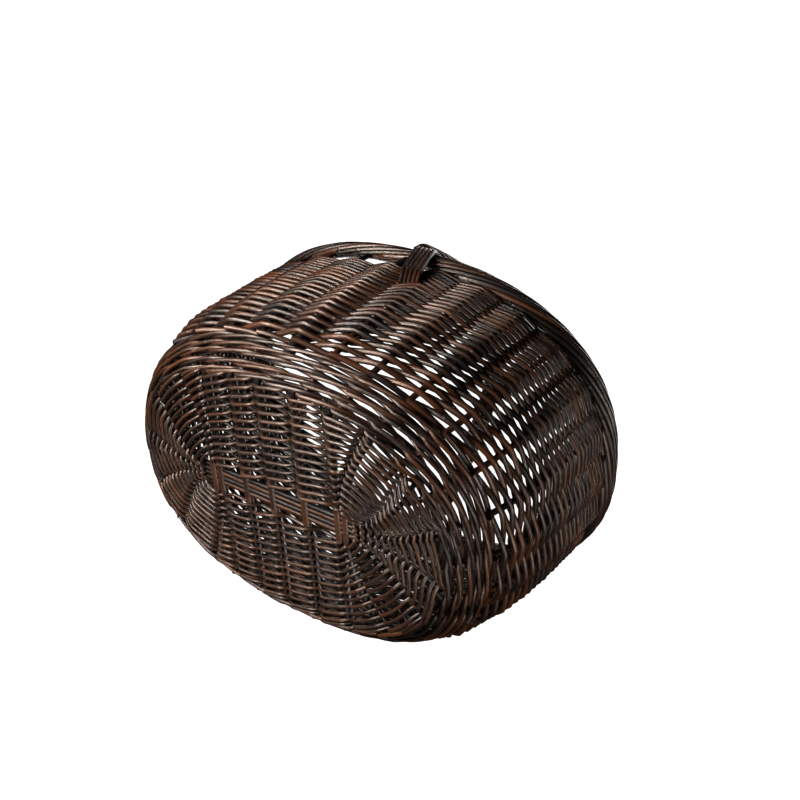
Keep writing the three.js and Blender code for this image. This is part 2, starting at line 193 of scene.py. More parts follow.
def base_ribs(edge):
    """The half sticks of the base on each of its sides, from the window outwards."""
    window = [stick_place(0) - WINDOW_END, stick_place(CROSS_STICKS - 1) + WINDOW_END]
    ribs = {"front": [], "right": [], "back": [], "left": []}
    for index in range(CROSS_STICKS):
        x = stick_place(index)
        for side, way in (("front", -1), ("back", 1)):
            start = Vector((x, way * WINDOW_HALF_WIDTH, 0.0))
            if index in (0, CROSS_STICKS - 1):
                turn = OUTER_PAIR_FAN * way if index else math.pi - OUTER_PAIR_FAN * way
                line = bend(start, Vector((0.0, way, 0.0)), oval(turn, edge))
            else:
                share = 1 - abs(x / (BASE_HALF_LENGTH + edge)) ** OUTLINE_POWER
                reach = (BASE_HALF_WIDTH + edge) * share ** (1 / OUTLINE_POWER)
                line = [start, Vector((x, way * reach, 0.0))]
            ribs[side].append(line)
    for index in range(LONG_STICKS):
        row = index - (LONG_STICKS - 1) / 2
        for side, way in (("left", -1), ("right", 1)):
            start = Vector((window[way > 0], row * LONG_STICK_PITCH, 0.0))
            turn = row * LONG_STICK_FAN if way > 0 else math.pi - row * LONG_STICK_FAN
            ribs[side].append(bend(start, Vector((way, 0.0, 0.0)), oval(turn, edge)))
    return ribs


def rib_ring(edge):
    """The half sticks of the base in order round the oval, from the front."""
    ribs = base_ribs(edge)
    return ribs["front"] + ribs["right"] + ribs["back"][::-1] + ribs["left"][::-1]


def whole_sticks(one_side, other_side):
    """Lines of whole sticks from their halves on two sides, at the middle of the base's thickness."""
    lift = Vector((0.0, 0.0, BASE_MIDDLE))
    return [[point + lift for point in (*a[::-1], *b)] for a, b in zip(one_side, other_side)]


def arch_line(steps=64):
    """The middle of the handle's arch, a parabola on two short necks, from the front to the back."""
    line = [Vector((0.0, -ARCH_HALF, ROPE_LOW.z))]
    for step in range(steps + 1):
        share = math.cos(math.pi * step / steps)
        high = ARCH_NECK + ARCH_RISE * (1 - share**2)
        line.append(Vector((0.0, -ARCH_HALF * share, ROPE_LOW.z + high)))
    return line + [Vector((0.0, ARCH_HALF, ROPE_LOW.z))]


class Field:
    """A value in a node tree on which arithmetic can be written, each step adding a Math node."""

    def __init__(self, plan, socket):
        self.plan = plan
        self.socket = socket

    def __add__(self, other):
        return self.plan.math("ADD", self, other)

    def __sub__(self, other):
        return self.plan.math("SUBTRACT", self, other)

    def __rsub__(self, other):
        return self.plan.math("SUBTRACT", other, self)

    def __mul__(self, other):
        return self.plan.math("MULTIPLY", self, other)

    def __truediv__(self, other):
        return self.plan.math("DIVIDE", self, other)

    __radd__ = __add__
    __rmul__ = __mul__


class Plan:
    """A node tree under construction, with one short call for each thing that the trees here do."""

    def __init__(self, tree):
        self.tree = tree
        self.start = None

    def input(self, name, kind, value=None):
        """A named input of the tree."""
        socket = self.tree.interface.new_socket(name, in_out="INPUT", socket_type=kind)
        if value is not None:
            socket.default_value = value
        if self.start is None:
            self.start = self.tree.nodes.new("NodeGroupInput")
        return Field(self, self.start.outputs[name])

    def output(self, **fields):
        """The tree's named outputs, each a kind of socket and a field."""
        end = self.tree.nodes.new("NodeGroupOutput")
        for name, (kind, field) in fields.items():
            self.tree.interface.new_socket(name, in_out="OUTPUT", socket_type=kind)
            self.feed(end.inputs[name], field)

    def feed(self, socket, value):
        """Links a field to a socket, or sets the socket to a plain value."""
        if isinstance(value, Field):
            self.tree.links.new(value.socket, socket)
        else:
            socket.default_value = value

    def node(self, kind, inputs=None, **settings):
        """A node with its settings and its inputs, by name or by place."""
        node = self.tree.nodes.new(kind)
        for name, value in settings.items():
            setattr(node, name, value)
        for name, value in (inputs or {}).items():
            self.feed(node.inputs[name], value)
        return node

    def get(self, kind, inputs=None, output=0, **settings):
        """One output of a new node."""
        return Field(self, self.node(kind, inputs, **settings).outputs[output])

    def math(self, operation, *values):
        """A Math node."""
        return self.get("ShaderNodeMath", dict(enumerate(values)), operation=operation)

    def vector(self, operation, *values):
        """A Vector Math node."""
        return self.get("ShaderNodeVectorMath", dict(enumerate(values)), operation=operation)

    def clamp(self, value, low=0.0, high=1.0):
        """A value kept between two limits."""
        return self.math("MINIMUM", self.math("MAXIMUM", value, low), high)

    def mix(self, share, first, second):
        """A blend of two colours, by the share of the second."""
        return self.get("ShaderNodeMix", {0: share, 6: first, 7: second}, output=2, data_type="RGBA")

    def scaled(self, vector, factor):
        """A vector times a number."""
        return self.get("ShaderNodeVectorMath", {0: vector, "Scale": factor}, operation="SCALE")

    def join(self, x, y, z):
        """A vector of three numbers."""
        return self.get("ShaderNodeCombineXYZ", {0: x, 1: y, 2: z})

    def split(self, vector):
        """The three numbers of a vector."""
        node = self.node("ShaderNodeSeparateXYZ", {0: vector})
        return [Field(self, socket) for socket in node.outputs]

    def wave(self, turns):
        """The cosine of a number of turns."""
        return self.math("COSINE", turns * math.tau)

    def noise(self, vector, scale, detail=2.0):
        """Smooth noise between about -1 and 1."""
        fac = self.get("ShaderNodeTexNoise", {"Vector": vector, "Scale": scale, "Detail": detail})
        return (fac - 0.5) * 2.0

    def chance(self, number, seed):
        """A random number from 0 to 1 for each whole number."""
        return self.get(
            "FunctionNodeRandomValue", {"ID": number, "Seed": seed}, output=1, data_type="FLOAT"
        )

    def sample(self, guide, index, factor=None, length=None):
        """The place and direction on one of a guide's lines, by share or by length."""
        inputs = {"Curves": guide, "Curve Index": index}
        inputs["Factor" if length is None else "Length"] = factor if length is None else length
        mode = "FACTOR" if length is None else "LENGTH"
        node = self.node("GeometryNodeSampleCurve", inputs, mode=mode)
        return Field(self, node.outputs["Position"]), Field(self, node.outputs["Tangent"])

    def rods(self, count, points):
        """Straight rods of even points: the lines, each point's rod and its share of the run."""
        line = self.get("GeometryNodeCurvePrimitiveLine")
        line = self.get("GeometryNodeResampleCurve", {"Curve": line, "Count": points})
        copies = self.node(
            "GeometryNodeDuplicateElements", {"Geometry": line, "Amount": count}, domain="SPLINE"
        )
        step = self.get("GeometryNodeCurveOfPoint", output="Index in Curve")
        return Field(self, copies.outputs[0]), Field(self, copies.outputs[1]), step / (points - 1.0)

    def move(self, line, position):
        """The lines with their points at new places."""
        return self.get("GeometryNodeSetPosition", {"Geometry": line, "Position": position})

    def keep(self, geometry, name, value, kind="FLOAT"):
        """The geometry with a named value at each of its points."""
        return self.get(
            "GeometryNodeStoreNamedAttribute",
            {"Geometry": geometry, "Name": name, "Value": value},
            data_type=kind,
            domain="POINT",
        )

    def skin(self, lines, thickness, tone, wear, finish, sides=8):
        """Closed rods along lines, with the tone, wear and place on the rod that their finish reads."""
        along = self.get("GeometryNodeSplineParameter", output="Length")
        for name, value in (("tone", tone), ("wear", wear), ("along", along)):
            lines = self.keep(lines, name, value)
        ring = self.get("GeometryNodeCurvePrimitiveCircle", {"Resolution": sides, "Radius": 1.0})
        ring = self.keep(ring, "section", self.get("GeometryNodeInputPosition"), "FLOAT_VECTOR")
        rods = self.get(
            "GeometryNodeCurveToMesh",
            {"Curve": lines, "Profile Curve": ring, "Scale": thickness / 2.0, "Fill Caps": True},
        )
        rods = self.get("GeometryNodeSetShadeSmooth", {"Geometry": rods})
        rods = self.get("GeometryNodeRealizeInstances", {"Geometry": rods})
        rods = self.get("GeometryNodeSetMaterial", {"Geometry": rods, "Material": finish})
        self.output(Rods=("NodeSocketGeometry", rods))

    def oval_place(self, guide, place, places):
        """Where a stake place lies on the unit oval, and the oval's outward direction there."""
        share = self.math("FRACT", place / places + 1.0)
        point, heading = self.sample(guide, 0, factor=share)
        size = (BASE_HALF_LENGTH + WALL_FLARE, BASE_HALF_WIDTH + WALL_FLARE, 1.0)
        unit = self.vector("DIVIDE", point, size)
        outward = self.vector("NORMALIZE", self.vector("CROSS_PRODUCT", heading, (0.0, 0.0, 1.0)))
        return unit, outward

    def wall_point(self, guide, place, places, rise, out):
        """A point of the wall, by its stake place, its distance up the face and out from the stakes."""
        unit, outward = self.oval_place(guide, place, places)
        face, climb = self.sample(guide, 1, length=rise)
        grow, _, height = self.split(face)
        climb_out, _, climb_up = self.split(climb)
        size = self.join(grow + BASE_HALF_LENGTH, grow + BASE_HALF_WIDTH, 0.0)
        level = self.vector("MULTIPLY", unit, size)
        level = self.vector("ADD", level, self.scaled(outward, (out - WALL_HALF) * climb_up))
        lift = height - (out - WALL_HALF) * climb_out
        return self.vector("ADD", level, self.join(0.0, 0.0, lift))


def new_plan(name):
    """A plan for rods, with its guide lines and its finish as inputs."""
    plan = Plan(bpy.data.node_groups.new(name, "GeometryNodeTree"))
    guide = plan.input("Guide", "NodeSocketGeometry")
    finish = plan.input("Finish", "NodeSocketMaterial")
    return plan, guide, finish


def length_input(plan, name, value):
    """A named length of a plan, in metres."""
    field = plan.input(name, "NodeSocketFloat", value)
    plan.tree.interface.items_tree[name].subtype = "DISTANCE"
    return field


def count_input(plan, name, value):
    """A named count of a plan."""
    return plan.input(name, "NodeSocketInt", value)


def stake_plan():
    """Stakes from inside the base edge up to the border, at every place but the two of the bow."""
    plan, guide, finish = new_plan("Stakes")
    places = count_input(plan, "Places", 28)
    thickness = length_input(plan, "Thickness", 0.0056)
    depth = length_input(plan, "Foot depth", 0.02)
    low = length_input(plan, "Foot", 0.003)
    high = length_input(plan, "Top", 0.2)
    drift = length_input(plan, "Drift", 0.0004)
    seed = count_input(plan, "Seed", 3)
    lines, rod, run = plan.rods(places - 2.0, points=48)
    place = rod + 1.0 + plan.math("FLOOR", rod / (places / 2.0 - 1.0))
    climb = run * (high - low + depth) - depth
    rise = plan.math("MAXIMUM", climb, 0.0) + low
    sway = plan.noise(plan.join(place, rise * 12.0, 0.0), 1.0) * drift
    point = plan.wall_point(guide, place + sway / STAKE_SPACING, places, rise, sway)
    _, outward = plan.oval_place(guide, place, places)
    point = plan.vector("ADD", point, plan.scaled(outward, plan.math("MINIMUM", climb, 0.0)))
    taper = 1.04 - run * 0.12
    tone = plan.chance(rod, seed)
    plan.skin(plan.move(lines, point), thickness * taper, tone, 0.0, finish, sides=10)
    return plan.tree


def wale_plan():
    """A three-rod wale: each rod passes in front of two stakes and behind the third."""
    plan, guide, finish = new_plan("Wale")
    places = count_input(plan, "Places", 28)
    rounds = count_input(plan, "Rounds", 2)
    thickness = length_input(plan, "Thickness", 0.0036)
    stake = length_input(plan, "Stake", 0.0056)
    low = length_input(plan, "Low", 0.003)
    high = length_input(plan, "High", 0.02)
    row_drift = length_input(plan, "Row drift", 0.0007)
    face_drift = length_input(plan, "Face drift", 0.0005)
    lap = plan.input("Strokes in a rod", "NodeSocketFloat", 10.0)
    stagger = plan.input("Strokes between joins", "NodeSocketFloat", 3.3)
    first = plan.input("First place", "NodeSocketFloat", 5.0)
    seed = count_input(plan, "Seed", 1)
    stroke_points = 5.0
    strokes = plan.math("MULTIPLY", rounds, places)
    lines, rod, run = plan.rods(3, strokes * stroke_points + 1.0)
    stroke = run * strokes
    place = stroke + rod + first
    turn = plan.math("FRACT", stroke / 3.0)
    swing = plan.wave(turn - 1 / 6) * (4 / 3) + 1 / 3
    swing = plan.math("SMOOTH_MIN", swing, 1.05, 0.4)
    sway = plan.math("SMOOTH_MIN", turn * 3.0 - 1.0, 5.0 - turn * 6.0, 0.4)
    used = (stroke + rod * stagger) / lap
    taper = 1.12 - plan.math("FRACT", used) * 0.34
    thick = thickness * taper
    drift = plan.noise(plan.join(place * 0.31, rod * 3.7 + seed, run * rounds), 1.0)
    rise = low + (high - low) * run + sway * thickness + drift * row_drift
    out = swing * (stake + thick) / 2.0 + drift * face_drift
    point = plan.wall_point(guide, place, places, rise, out)
    tone = plan.chance(plan.math("FLOOR", used) + rod * 61.0, seed)
    plan.skin(plan.move(lines, point), thick, tone, plan.math("MAXIMUM", swing, 0.0), finish)
    return plan.tree


def side_plan():
    """French randing: a rod from every place, before one stake and behind the next, a row up each time."""
    plan, guide, finish = new_plan("Side weave")
    places = count_input(plan, "Places", 28)
    strokes = plan.input("Strokes", "NodeSocketFloat", 41.0)
    butt = length_input(plan, "Butt", 0.0052)
    tip = length_input(plan, "Tip", 0.0029)
    crowding = plan.input("First row to last", "NodeSocketFloat", 2.4)
    stake = length_input(plan, "Stake", 0.0056)
    bow = length_input(plan, "Bow", 0.01)
    low = length_input(plan, "Low", 0.047)
    high = length_input(plan, "High", 0.198)
    short = length_input(plan, "Short of the border", 0.015)
    row_drift = length_input(plan, "Row drift", 0.0022)
    rod_drift = length_input(plan, "Rod drift", 0.0012)
    face_drift = length_input(plan, "Face drift", 0.0004)
    seed = count_input(plan, "Seed", 5)
    stroke_points = 6.0
    lines, rod, run = plan.rods(places, strokes * stroke_points + 1.0)
    stroke = run * strokes
    place = stroke + rod
    tone = plan.chance(rod, seed)
    grade = plan.chance(rod, seed + 1.0) * 0.24 + 0.88
    thick = (butt + (tip - butt) * run) * grade
    share = run * (crowding * 2.0 - run * (crowding - 1.0)) / (crowding + 1.0)
    bent = plan.math("ABSOLUTE", plan.math("FRACT", stroke / 2.0) - 0.5) * 4.0 - 1.0
    swing = bent * 0.8 + plan.wave(stroke / 2.0) * 0.2
    bare = plan.clamp(plan.wave((place + BARE_PLACE) / places) * 14.0 - 12.2)
    high = high - bare * short
    row = plan.noise(plan.join(place * 0.55, share * 7.0, seed), 1.0)
    own = plan.noise(plan.join(place * 0.4, rod * 5.3, seed), 1.0)
    rise = low + (high - low) * share + (row * row_drift + own * rod_drift) * (1.0 - share * 0.9)
    half = plan.math("FRACT", place / (places / 2.0) + 0.5) - 0.5
    beside = plan.math("MAXIMUM", 1.0 - plan.math("ABSOLUTE", half) * (places / 2.0), 0.0)
    reach = (stake + thick + (bow - stake) * beside) / 2.0
    point = plan.wall_point(guide, place, places, rise, swing * reach + own * face_drift)
    plan.skin(plan.move(lines, point), thick, tone, plan.math("MAXIMUM", swing, 0.0), finish)
    return plan.tree


def pairing_plan():
    """Pairing round the base sticks: two rods spiral outwards and change places at every stick."""
    plan, guide, finish = new_plan("Base weave")
    ribs = count_input(plan, "Ribs", 22)
    rounds = plan.input("Rounds", "NodeSocketFloat", 12.7)
    thickness = length_input(plan, "Thickness", 0.0033)
    depth = length_input(plan, "Depth", 0.0046)
    slant = length_input(plan, "Slant", 0.0034)
    wide_gap = length_input(plan, "Wide gap", 0.028)
    middle = length_input(plan, "Middle", BASE_MIDDLE)
    wander = length_input(plan, "Drift", 0.0011)
    lap = plan.input("Strokes in a rod", "NodeSocketFloat", 21.0)
    stagger = plan.input("Strokes between joins", "NodeSocketFloat", 11.0)
    seed = count_input(plan, "Seed", 7)
    gap_steps = 10
    lean_share = 0.47
    gaps = plan.math("ROUND", ribs * rounds)
    lines, _, run = plan.rods(2, gaps + 1.0)
    stroke = plan.math("ROUND", run * gaps)
    share = plan.math("MINIMUM", run * rounds / (rounds - 0.6), 1.0) * 0.97 + 0.03
    here, _ = plan.sample(guide, plan.math("FLOORED_MODULO", stroke, ribs), factor=share)
    there, _ = plan.sample(guide, plan.math("FLOORED_MODULO", stroke + 1.0, ribs), factor=share)
    gap = plan.get("ShaderNodeVectorMath", {0: here, 1: there}, output="Value", operation="DISTANCE")
    lines = plan.move(plan.keep(lines, "gap", gap), here)
    lines = plan.get("GeometryNodeCurveSplineType", {"Curve": lines}, spline_type="CATMULL_ROM")
    lines = plan.get("GeometryNodeSetSplineResolution", {"Geometry": lines, "Resolution": gap_steps})
    lines = plan.get("GeometryNodeResampleCurve", {"Curve": lines}, mode="EVALUATED")
    gap = plan.get("GeometryNodeInputNamedAttribute", {"Name": "gap"}, data_type="FLOAT")
    room = plan.clamp(gap / wide_gap, low=0.35)
    stroke = plan.get("GeometryNodeCurveOfPoint", output="Index in Curve") / float(gap_steps)
    number = plan.get("GeometryNodeCurveOfPoint", output="Curve Index")
    turn = plan.math("FRACT", (stroke + number) / 2.0)
    under = plan.clamp(plan.wave(turn - 0.17) * 2.0, low=-1.0)
    late = plan.math("FRACT", turn + 0.02)
    leave = late * (2 / lean_share) - 1.0
    come_back = 1.0 - (late - lean_share) * (2 / (1 - lean_share))
    sway = plan.math("SMOOTH_MIN", leave, come_back, 0.3)
    heading = plan.get("GeometryNodeInputTangent")
    outward = plan.vector("NORMALIZE", plan.vector("CROSS_PRODUCT", heading, (0.0, 0.0, 1.0)))
    place = plan.get("GeometryNodeInputPosition")
    drift = plan.noise(plan.vector("ADD", place, plan.join(number, 0.0, 0.0)), 30.0)
    level = middle - under * depth * (room * 0.45 + 0.55)
    flat = plan.vector("ADD", place, plan.scaled(outward, sway * slant * room + drift * wander))
    point = plan.vector("ADD", flat, plan.join(0.0, 0.0, level))
    used = (stroke + number * stagger) / lap
    taper = 1.1 - plan.math("FRACT", used) * 0.25
    tone = plan.chance(plan.math("FLOOR", used) + number * 57.0, seed)
    wear = plan.math("MAXIMUM", under, 0.0)
    plan.skin(plan.move(lines, point), thickness * taper, tone, wear, finish)
    return plan.tree


def stick_plan():
    """Sticks along their guide lines, thinner towards their ends, which bend down, with painted shade where
    the weave covers them and near black painted shade at their ends.
    """
    plan, guide, finish = new_plan("Base sticks")
    thickness = length_input(plan, "Thickness", 0.0072)
    flatness = plan.input("Height to width", "NodeSocketFloat", 1.15)
    taper = plan.input("Taper", "NodeSocketFloat", 0.22)
    window = plan.input("Bare share", "NodeSocketFloat", 0.15)
    drop = length_input(plan, "End drop", 0.0026)
    drift_long = length_input(plan, "Drift in length", 0.0006)
    drift_wide = length_input(plan, "Drift in width", 0.0004)
    seed = count_input(plan, "Seed", 11)
    bent_share = 0.08
    # The share of the length at each end that takes the near black painted shade.
    end_shade_share = 0.04
    lines = plan.get("GeometryNodeResampleCurve", {"Curve": guide, "Count": 56})
    run = plan.get("GeometryNodeSplineParameter", output="Factor")
    from_middle = plan.math("ABSOLUTE", run * 2.0 - 1.0)
    number = plan.get("GeometryNodeCurveOfPoint", output="Curve Index")
    place = plan.get("GeometryNodeInputPosition")
    drift = plan.noise(plan.vector("ADD", place, plan.join(0.0, 0.0, number)), 22.0)
    end = plan.math("MAXIMUM", from_middle - (1 - bent_share), 0.0) / bent_share
    shift = plan.join(drift * drift_long, drift * drift_wide, end * drop * -1.0)
    lines = plan.move(lines, plan.vector("ADD", place, shift))
    tone = plan.chance(number, seed)
    thick = thickness * (1.0 - from_middle * taper + drift * 0.05)
    # Painted shade: the sticks' colour is darker where the weave covers them (bare is 0 there) and near
    # black at their ends; bare also sets where the sticks are rubbed.
    bare = plan.clamp((window - from_middle) * 12.0 + 0.5)
    cut = plan.math("MAXIMUM", from_middle - (1 - end_shade_share), 0.0) / end_shade_share
    tone = tone * (bare * 0.8 + 0.2) - cut
    # A round stick with the section of one of that height and width.
    plan.skin(lines, thick * plan.math("SQRT", flatness), tone, bare, finish, sides=12)
    return plan.tree


def border_plan():
    """The rolled border: each rod leans along the rim, up the outside and down the inside."""
    plan, guide, finish = new_plan("Border")
    places = count_input(plan, "Places", 28)
    count = count_input(plan, "Rods", 42)
    lay = plan.input("Places in a turn", "NodeSocketFloat", 6.0)
    butt = length_input(plan, "Butt", 0.0058)
    tip = length_input(plan, "Tip", 0.0043)
    width = length_input(plan, "Width", BORDER_WIDTH)
    height = length_input(plan, "Height", BORDER_HEIGHT)
    top = length_input(plan, "Top", WALL_HEIGHT)
    drop = length_input(plan, "Foot drop", 0.003)
    drift = length_input(plan, "Drift", 0.0004)
    seed = count_input(plan, "Seed", 13)
    upright_share = 0.035
    lines, rod, run = plan.rods(count, points=72)
    thick = butt + (tip - butt) * run
    rising = plan.math("SMOOTH_MIN", run / 0.05, 1.0, 0.3)
    lean = plan.math("MAXIMUM", run - upright_share, 0.0) / (1 - upright_share)
    own = plan.noise(plan.join(run * 5.0, rod * 4.1, seed), 1.0)
    place = plan.math("DIVIDE", places, count) * rod + lean * lay
    unit, outward = plan.oval_place(guide, place, places)
    turn = lean * 0.97 - 0.25 + own * 0.012
    out = plan.wave(turn) * (width - thick) / 2.0 * rising
    up = plan.math("SINE", turn * math.tau) * (height - thick) / 2.0
    foot = (1.0 - rising) * drop
    size = (BASE_HALF_LENGTH + RIM_LINE, BASE_HALF_WIDTH + RIM_LINE, 0.0)
    level = plan.vector("MULTIPLY", unit, size)
    level = plan.vector("ADD", level, plan.scaled(outward, out + own * drift))
    lift = top - height / 2.0 + up - foot
    point = plan.vector("ADD", level, plan.join(0.0, 0.0, lift))
    tone = plan.chance(rod, seed)
    wear = plan.math("MAXIMUM", plan.math("SINE", lean * math.pi), 0.0)
    plan.skin(plan.move(lines, point), thick, tone, wear, finish)
    return plan.tree


def rope_plan():
    """Rods wound round the bow, half of them from each foot."""
    plan, guide, finish = new_plan("Handle rope")
    count = count_input(plan, "Rods", 10)
    turns = plan.input("Turns", "NodeSocketFloat", 3.0)
    butt = length_input(plan, "Butt", 0.0046)
    tip = length_input(plan, "Tip", 0.004)
    radius = length_input(plan, "Radius", ROPE_RADIUS)
    seed = count_input(plan, "Seed", 17)
    lines, rod, run = plan.rods(count, points=150)
    back = plan.math("MODULO", rod, 2.0)
    age = run + back * (1.0 - run * 2.0)
    thick = butt + (tip - butt) * age
    own = plan.noise(plan.join(run * 6.0, rod * 3.9, seed), 1.0)
    middle, heading = plan.sample(guide, 0, factor=run)
    side = (1.0, 0.0, 0.0)
    over = plan.vector("NORMALIZE", plan.vector("CROSS_PRODUCT", heading, side))
    turn = rod / count + run * turns + own * 0.012
    reach = radius - thick / 2.0
    across = plan.scaled(side, plan.wave(turn) * reach)
    above = plan.scaled(over, plan.math("SINE", turn * math.tau) * reach)
    point = plan.vector("ADD", middle, plan.vector("ADD", across, above))
    tone = plan.chance(rod, seed)
    plan.skin(plan.move(lines, point), thick, tone, 0.7, finish, sides=9)
    return plan.tree


def tie_plan():
    """A flat band of rods, side by side along a guide line."""
    plan, guide, finish = new_plan("Rope tie")
    count = count_input(plan, "Rods", 5)
    thickness = length_input(plan, "Thickness", 0.0043)
    pitch = length_input(plan, "Pitch", 0.0041)
    drift = length_input(plan, "Drift", 0.0004)
    seed = count_input(plan, "Seed", 19)
    lines, rod, run = plan.rods(count, points=60)
    middle, heading = plan.sample(guide, 0, factor=run)
    over = plan.vector("CROSS_PRODUCT", heading, (1.0, 0.0, 0.0))
    across = plan.vector("NORMALIZE", plan.vector("CROSS_PRODUCT", over, heading))
    own = plan.noise(plan.join(run * 3.0, rod * 2.9, seed), 1.0)
    shift = (rod - (count - 1.0) / 2.0) * pitch + own * drift
    point = plan.vector("ADD", middle, plan.scaled(across, shift))
    tone = plan.chance(rod, seed)
    taper = 1.06 - run * 0.2
    plan.skin(plan.move(lines, point), thickness * taper, tone, 0.8, finish, sides=9)
    return plan.tree


def bow_plan():
    """One rod along its guide line."""
    plan, guide, finish = new_plan("Bow")
    thickness = length_input(plan, "Thickness", 2 * BOW_RADIUS)
    lines = plan.get("GeometryNodeResampleCurve", {"Curve": guide, "Count": 120})
    plan.skin(lines, thickness, 0.4, 0.2, finish, sides=12)
    return plan.tree


def stain_group():
    """How dark stain lies on willow: streaks along the rod, leaf scars, and tan where it is rubbed."""
    plan = Plan(bpy.data.node_groups.new("Stained willow", "ShaderNodeTree"))
    deep = plan.input("Deep", "NodeSocketColor")
    warm = plan.input("Warm", "NodeSocketColor")
    tan = plan.input("Rubbed", "NodeSocketColor")
    cool = plan.input("Cool", "NodeSocketColor")
    amount = plan.input("Rub", "NodeSocketFloat", 0.5)
    light = plan.input("Lightness", "NodeSocketFloat", 0.5)
    tone = plan.get("ShaderNodeAttribute", output="Fac", attribute_name="tone")
    wear = plan.get("ShaderNodeAttribute", output="Fac", attribute_name="wear")
    along = plan.get("ShaderNodeAttribute", output="Fac", attribute_name="along")
    section = plan.get("ShaderNodeAttribute", output="Vector", attribute_name="section")
    x, y, _ = plan.split(section)
    shift = tone * 71.0

    def grain(scale_along, scale_round, detail):
        """Noise that is stretched along the rod."""
        place = plan.join(along * scale_along + shift, x * scale_round, y * scale_round)
        return plan.noise(place, 1.0, detail)

    patch = grain(22.0, 0.5, 3.0)
    streak = grain(14.0, 3.2, 4.0)
    fibre = grain(60.0, 9.0, 3.0)
    scars_in_metre = 11.0
    scar_half_share = 0.022
    scar_at = plan.math("FRACT", along * scars_in_metre + tone * 5.0)
    scar = plan.get(
        "ShaderNodeMapRange",
        {
            "Value": plan.math("ABSOLUTE", scar_at - 0.5),
            "From Min": 0.0,
            "From Max": scar_half_share,
            "To Min": 1.0,
            "To Max": 0.0,
        },
    )
    scar = scar * plan.clamp(patch * 4.0 + 0.4)
    mixed = light + (tone - 0.5) * 0.9 + patch * 0.4 + streak * 0.8 + fibre * 0.3 - scar * 0.5
    colour = plan.mix(plan.clamp(mixed), deep, warm)
    blue = plan.math("GREATER_THAN", plan.math("FRACT", tone * 7.31), 0.86) * 0.65
    colour = plan.mix(blue, colour, cool)
    rubbed = wear * amount * (1.0 - blue) * (streak * 0.5 + patch * 0.4 + 0.5)
    colour = plan.mix(plan.clamp(rubbed), colour, tan)
    gloss = plan.math("MAXIMUM", 0.37 + patch * 0.07 + fibre * 0.06 + scar * 0.2, 0.2)
    height = streak * 0.5 + fibre * 0.35 + scar * 1.2
    plan.output(
        Colour=("NodeSocketColor", colour),
        Roughness=("NodeSocketFloat", gloss),
        Height=("NodeSocketFloat", height),
    )
    return plan.tree


def willow(name, lightness, rub, shine=1.0):
    """A stained willow finish of a given lightness, rubbing and share of the shine; for the cross sticks
    and the border the lightness also holds painted light and shade.
    """
    look = bpy.context.scene.basket_look
    group = bpy.data.node_groups.get("Stained willow") or stain_group()
    material = bpy.data.materials.new(name)
    material.use_nodes = True
    plan = Plan(material.node_tree)
    surface = material.node_tree.nodes["Principled BSDF"]
    stain = plan.node("ShaderNodeGroup", node_tree=group)
    colours = {"Deep": look.deep, "Warm": look.warm, "Rubbed": look.rubbed, "Cool": look.cool}
    for key, value in {**colours, "Rub": rub, "Lightness": lightness}.items():
        stain.inputs[key].default_value = value
    bump = plan.node(
        "ShaderNodeBump",
        {"Height": Field(plan, stain.outputs["Height"]), "Strength": 0.6, "Distance": 0.0005},
    )
    plan.feed(surface.inputs["Base Color"], Field(plan, stain.outputs["Colour"]))
    plan.feed(surface.inputs["Roughness"], Field(plan, stain.outputs["Roughness"]))
    plan.feed(surface.inputs["Normal"], Field(plan, bump.outputs["Normal"]))
    surface.inputs["Specular IOR Level"].default_value = look.shine * shine
    surface.inputs["Specular Tint"].default_value = look.sheen
    return material


def guide_lines(name, lines, rings=()):
    """Guide lines for a plan, the closed rings before the open lines."""
    curve = bpy.data.curves.new(name, "CURVE")
    curve.dimensions = "3D"
    for number, points in enumerate((*rings, *lines)):
        spline = curve.splines.new("POLY")
        spline.points.add(len(points) - 1)
        for knot, point in zip(spline.points, points):
            knot.co = (*point, 1.0)
        spline.use_cyclic_u = number < len(rings)
    guide = bpy.data.objects.new(name, curve)
    bpy.context.scene.collection.objects.link(guide)
    return guide


def wall_guide():
    """The rim and the wall's profile, which the wall's rods follow."""
    return guide_lines("wall_guide", [wall_line()], rings=[rim_line()])


def weave_piece(name, guide, tree, values, nodes):
    """Runs a plan on its guide and keeps the rods as a plain mesh in place of the CAD nodes."""
    modifier = guide.modifiers.new(name, "NODES")
    modifier.node_group = tree
    for item in tree.interface.items_tree:
        if item.in_out == "INPUT" and item.name in values:
            modifier[item.identifier] = values[item.name]
    depsgraph = bpy.context.evaluated_depsgraph_get()
    mesh = bpy.data.meshes.new_from_object(
        guide.evaluated_get(depsgraph), preserve_all_data_layers=True, depsgraph=depsgraph
    )
    guide.modifiers.remove(modifier)
    bpy.data.objects.remove(guide)
    if not mesh.polygons:
        raise RuntimeError(f"{name} came out empty")
    mesh.name = name
    piece = bpy.data.objects.new(name, mesh)
    bpy.context.scene.collection.objects.link(piece)
    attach(piece, "root")
    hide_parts(*nodes)


def named(prefix, count, digits=1):
    """Numbered CAD node names."""
    return [f"{prefix}_{number:0{digits}d}" for number in range(1, count + 1)]


def length_property(name, description, millimetres):
    """A length that a user may change."""
    return bpy.props.FloatProperty(
        name=name, description=description, default=millimetres / 1000, unit="LENGTH", precision=4
    )


def count_property(name, description, value, least):
    """A count that a user may change."""
    return bpy.props.IntProperty(name=name, description=description, default=value, min=least)


def number_property(name, description, value, least=0.0):
    """A plain number that a user may change."""
    return bpy.props.FloatProperty(name=name, description=description, default=value, min=least)


def power_property(name, description, watts):
    """A light's power that a user may change."""
    return bpy.props.FloatProperty(name=name, description=description, default=watts, unit="POWER")


def colour_property(name, description, value):
    """A colour that a user may change."""
    return bpy.props.FloatVectorProperty(
        name=name,
        description=description,
        default=(*value, 1.0),
        size=4,
        subtype="COLOR",
        min=0.0,
        max=1.0,
    )


